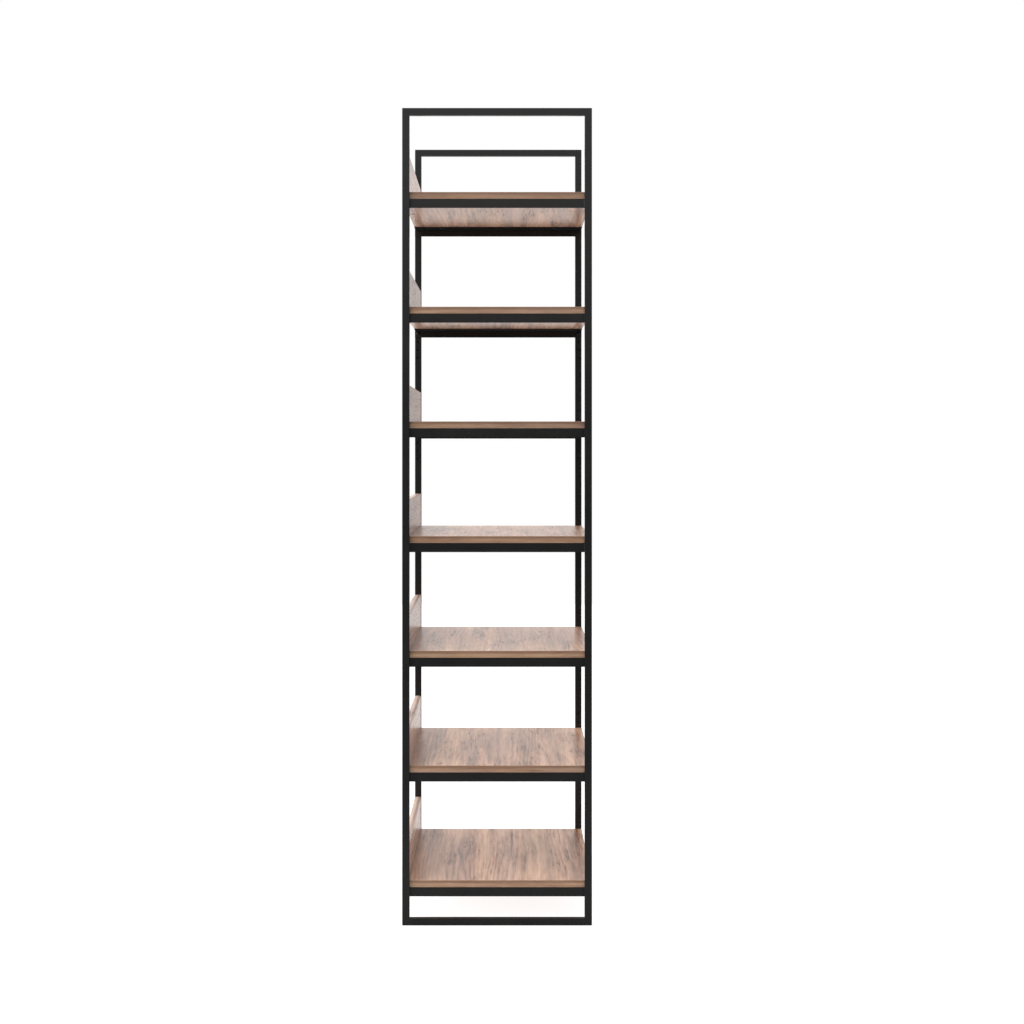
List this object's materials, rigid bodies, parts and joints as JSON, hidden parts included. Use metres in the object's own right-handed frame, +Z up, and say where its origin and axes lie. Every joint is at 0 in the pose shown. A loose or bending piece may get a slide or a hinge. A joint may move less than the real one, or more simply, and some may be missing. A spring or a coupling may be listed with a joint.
{
  "type": "bookcase with adjustable shelves",
  "caption": "Tall narrow open bookcase: wooden shelves with a low panel at one side, held between two flat-bar steel frames, some of them adjustable in height.",
  "frame": {"origin": "on the floor, at the middle of the footprint", "axes": "+Z up, -Y towards the front that is loaded and seen, +X to the right seen from the front"},
  "size_m": [0.418, 0.33, 1.8],
  "materials": {
    "frame_steel": "satin black powder coat over flat bar and angle, with ground welds at the mitres",
    "board_wood": "rustic grey-brown pine, matt lacquer, grain from front to back, brown edges",
    "panel_wood": "the same rustic pine, a little paler, grain along the panel",
    "bolt_steel": "black oxide"
  },
  "bodies": {
    "frame": {"front_left_upright": "frame_steel", "front_right_upright": "frame_steel", "front_top_rail": "frame_steel", "front_bottom_rail": "frame_steel", "rear_left_upright": "frame_steel", "rear_right_upright": "frame_steel", "rear_top_rail": "frame_steel", "rear_bottom_rail": "frame_steel", "shelf_1_board": "board_wood", "shelf_1_side_panel": "panel_wood", "shelf_1_front_angle": "frame_steel", "shelf_1_rear_angle": "frame_steel", "shelf_4_board": "board_wood", "shelf_4_side_panel": "panel_wood", "shelf_4_front_angle": "frame_steel", "shelf_4_rear_angle": "frame_steel", "shelf_7_board": "board_wood", "shelf_7_side_panel": "panel_wood", "shelf_7_front_angle": "frame_steel", "shelf_7_rear_angle": "frame_steel"},
    "shelf_2": {"shelf_2_board": "board_wood", "shelf_2_side_panel": "panel_wood", "shelf_2_front_angle": "frame_steel", "shelf_2_rear_angle": "frame_steel", "shelf_2_front_left_bolt": "bolt_steel", "shelf_2_front_right_bolt": "bolt_steel", "shelf_2_rear_left_bolt": "bolt_steel", "shelf_2_rear_right_bolt": "bolt_steel"},
    "shelf_3": {"shelf_3_board": "board_wood", "shelf_3_side_panel": "panel_wood", "shelf_3_front_angle": "frame_steel", "shelf_3_rear_angle": "frame_steel", "shelf_3_front_left_bolt": "bolt_steel", "shelf_3_front_right_bolt": "bolt_steel", "shelf_3_rear_left_bolt": "bolt_steel", "shelf_3_rear_right_bolt": "bolt_steel"},
    "shelf_5": {"shelf_5_board": "board_wood", "shelf_5_side_panel": "panel_wood", "shelf_5_front_angle": "frame_steel", "shelf_5_rear_angle": "frame_steel", "shelf_5_front_left_bolt": "bolt_steel", "shelf_5_front_right_bolt": "bolt_steel", "shelf_5_rear_left_bolt": "bolt_steel", "shelf_5_rear_right_bolt": "bolt_steel"},
    "shelf_6": {"shelf_6_board": "board_wood", "shelf_6_side_panel": "panel_wood", "shelf_6_front_angle": "frame_steel", "shelf_6_rear_angle": "frame_steel", "shelf_6_front_left_bolt": "bolt_steel", "shelf_6_front_right_bolt": "bolt_steel", "shelf_6_rear_left_bolt": "bolt_steel", "shelf_6_rear_right_bolt": "bolt_steel"}
  },
  "joints": [
    {"name": "shelf_2_height", "type": "slide", "parent": "frame", "child": "shelf_2", "axis": [0, 0, 1], "range_m": [-0.06, 0.06]},
    {"name": "shelf_3_height", "type": "slide", "parent": "frame", "child": "shelf_3", "axis": [0, 0, 1], "range_m": [-0.06, 0.06]},
    {"name": "shelf_5_height", "type": "slide", "parent": "frame", "child": "shelf_5", "axis": [0, 0, 1], "range_m": [-0.06, 0.06]},
    {"name": "shelf_6_height", "type": "slide", "parent": "frame", "child": "shelf_6", "axis": [0, 0, 1], "range_m": [-0.06, 0.06]}
  ]
}
